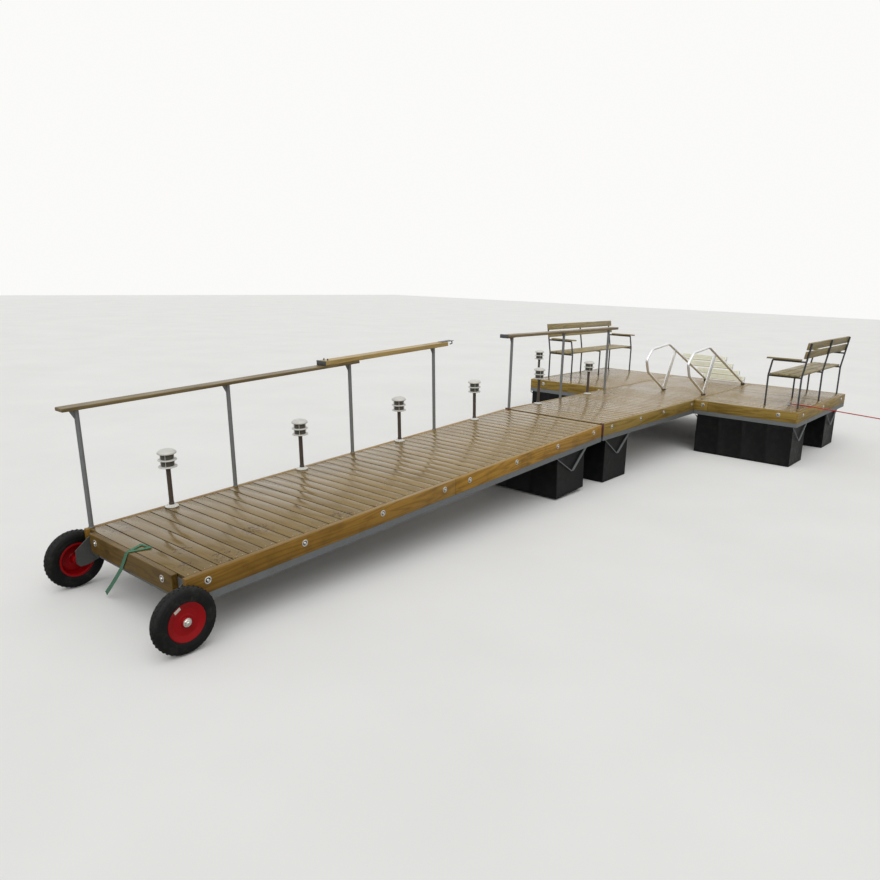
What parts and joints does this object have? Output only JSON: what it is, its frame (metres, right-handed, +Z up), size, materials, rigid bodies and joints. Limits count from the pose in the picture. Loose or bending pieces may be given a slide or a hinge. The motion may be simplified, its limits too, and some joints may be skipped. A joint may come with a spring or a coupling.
{
  "type": "wooden jetty",
  "caption": "Floating timber jetty with a wheeled gangway hinged to a T-shaped bathing platform, side handrail, bollard lights, benches and a parked bathing ladder.",
  "frame": {"origin": "on the floor under the middle of the whole jetty's length and width", "axes": "+X along the jetty away from the shore, +Y to the handrail side, +Z up"},
  "size_m": [11.238, 5.358, 1.736],
  "materials": {
    "deck_wood": "wet weathered pine",
    "edge_wood": "pressure treated pine, yellow green",
    "rail_wood": "weathered pine",
    "bench_wood": "oiled pine",
    "galvanised": "hot dip galvanised",
    "float_black": "black polyethylene",
    "bench_steel": "dark satin paint",
    "ladder_alu": "satin",
    "tread": "ribbed",
    "foot_rubber": "matte",
    "lamp_white": "satin",
    "lamp_post": "grey brown paint",
    "buffer": "dark red brown",
    "tyre": "worn rubber",
    "rim_red": "red paint",
    "strap": "green webbing",
    "rope": "red laid rope",
    "pin_steel": "galvanised"
  },
  "bodies": {
    "platform": {"arm_decks": "deck_wood", "arm_edge_planks": "edge_wood", "arm_float_braces": "galvanised", "arm_floats": "float_black", "arm_frames": "galvanised", "bench_armrests": "bench_wood", "bench_backrests": "bench_wood", "bench_seats": "bench_wood", "hinge_buffers": "buffer", "hinge_pins": "pin_steel", "ladder_feet": "foot_rubber", "ladder_frame": "ladder_alu", "ladder_treads": "tread", "left_bench_frames": "bench_steel", "mooring_cleat": "galvanised", "mooring_rope": "rope", "mooring_rope_eye": "rope", "platform_lamp_heads": "lamp_white", "platform_lamp_posts": "lamp_post", "right_bench_frames": "bench_steel", "walkway_deck": "deck_wood", "walkway_edge_planks": "edge_wood", "walkway_float": "float_black", "walkway_float_braces": "galvanised", "walkway_frame": "galvanised", "walkway_rail_board": "rail_wood", "walkway_rail_posts": "galvanised"},
    "gangway": {"gangway_deck": "deck_wood", "gangway_edge_planks": "edge_wood", "gangway_end_board": "edge_wood", "gangway_float": "float_black", "gangway_float_braces": "galvanised", "gangway_frame": "galvanised", "gangway_lamp_heads": "lamp_white", "gangway_lamp_posts": "lamp_post", "gangway_rail_board": "rail_wood", "gangway_rail_posts": "galvanised", "gangway_upper_rail": "rail_wood", "lifting_strap": "strap", "wheel_brackets": "galvanised"},
    "left_wheel": {"left_wheel_rim": "rim_red", "left_wheel_tyre": "tyre"},
    "right_wheel": {"right_wheel_rim": "rim_red", "right_wheel_tyre": "tyre"}
  },
  "joints": [
    {"name": "gangway_hinge", "type": "hinge", "parent": "platform", "child": "gangway", "pos_m": [0.21896, 0, 0.5885], "axis": [0, 1, 0], "range_deg": [0, 6]},
    {"name": "left_wheel_turn", "type": "hinge", "parent": "gangway", "child": "left_wheel", "pos_m": [-5.38896, 0.775, 0.23], "axis": [0, 1, 0], "continuous": true},
    {"name": "right_wheel_turn", "type": "hinge", "parent": "gangway", "child": "right_wheel", "pos_m": [-5.38896, -0.775, 0.23], "axis": [0, 1, 0], "continuous": true}
  ]
}
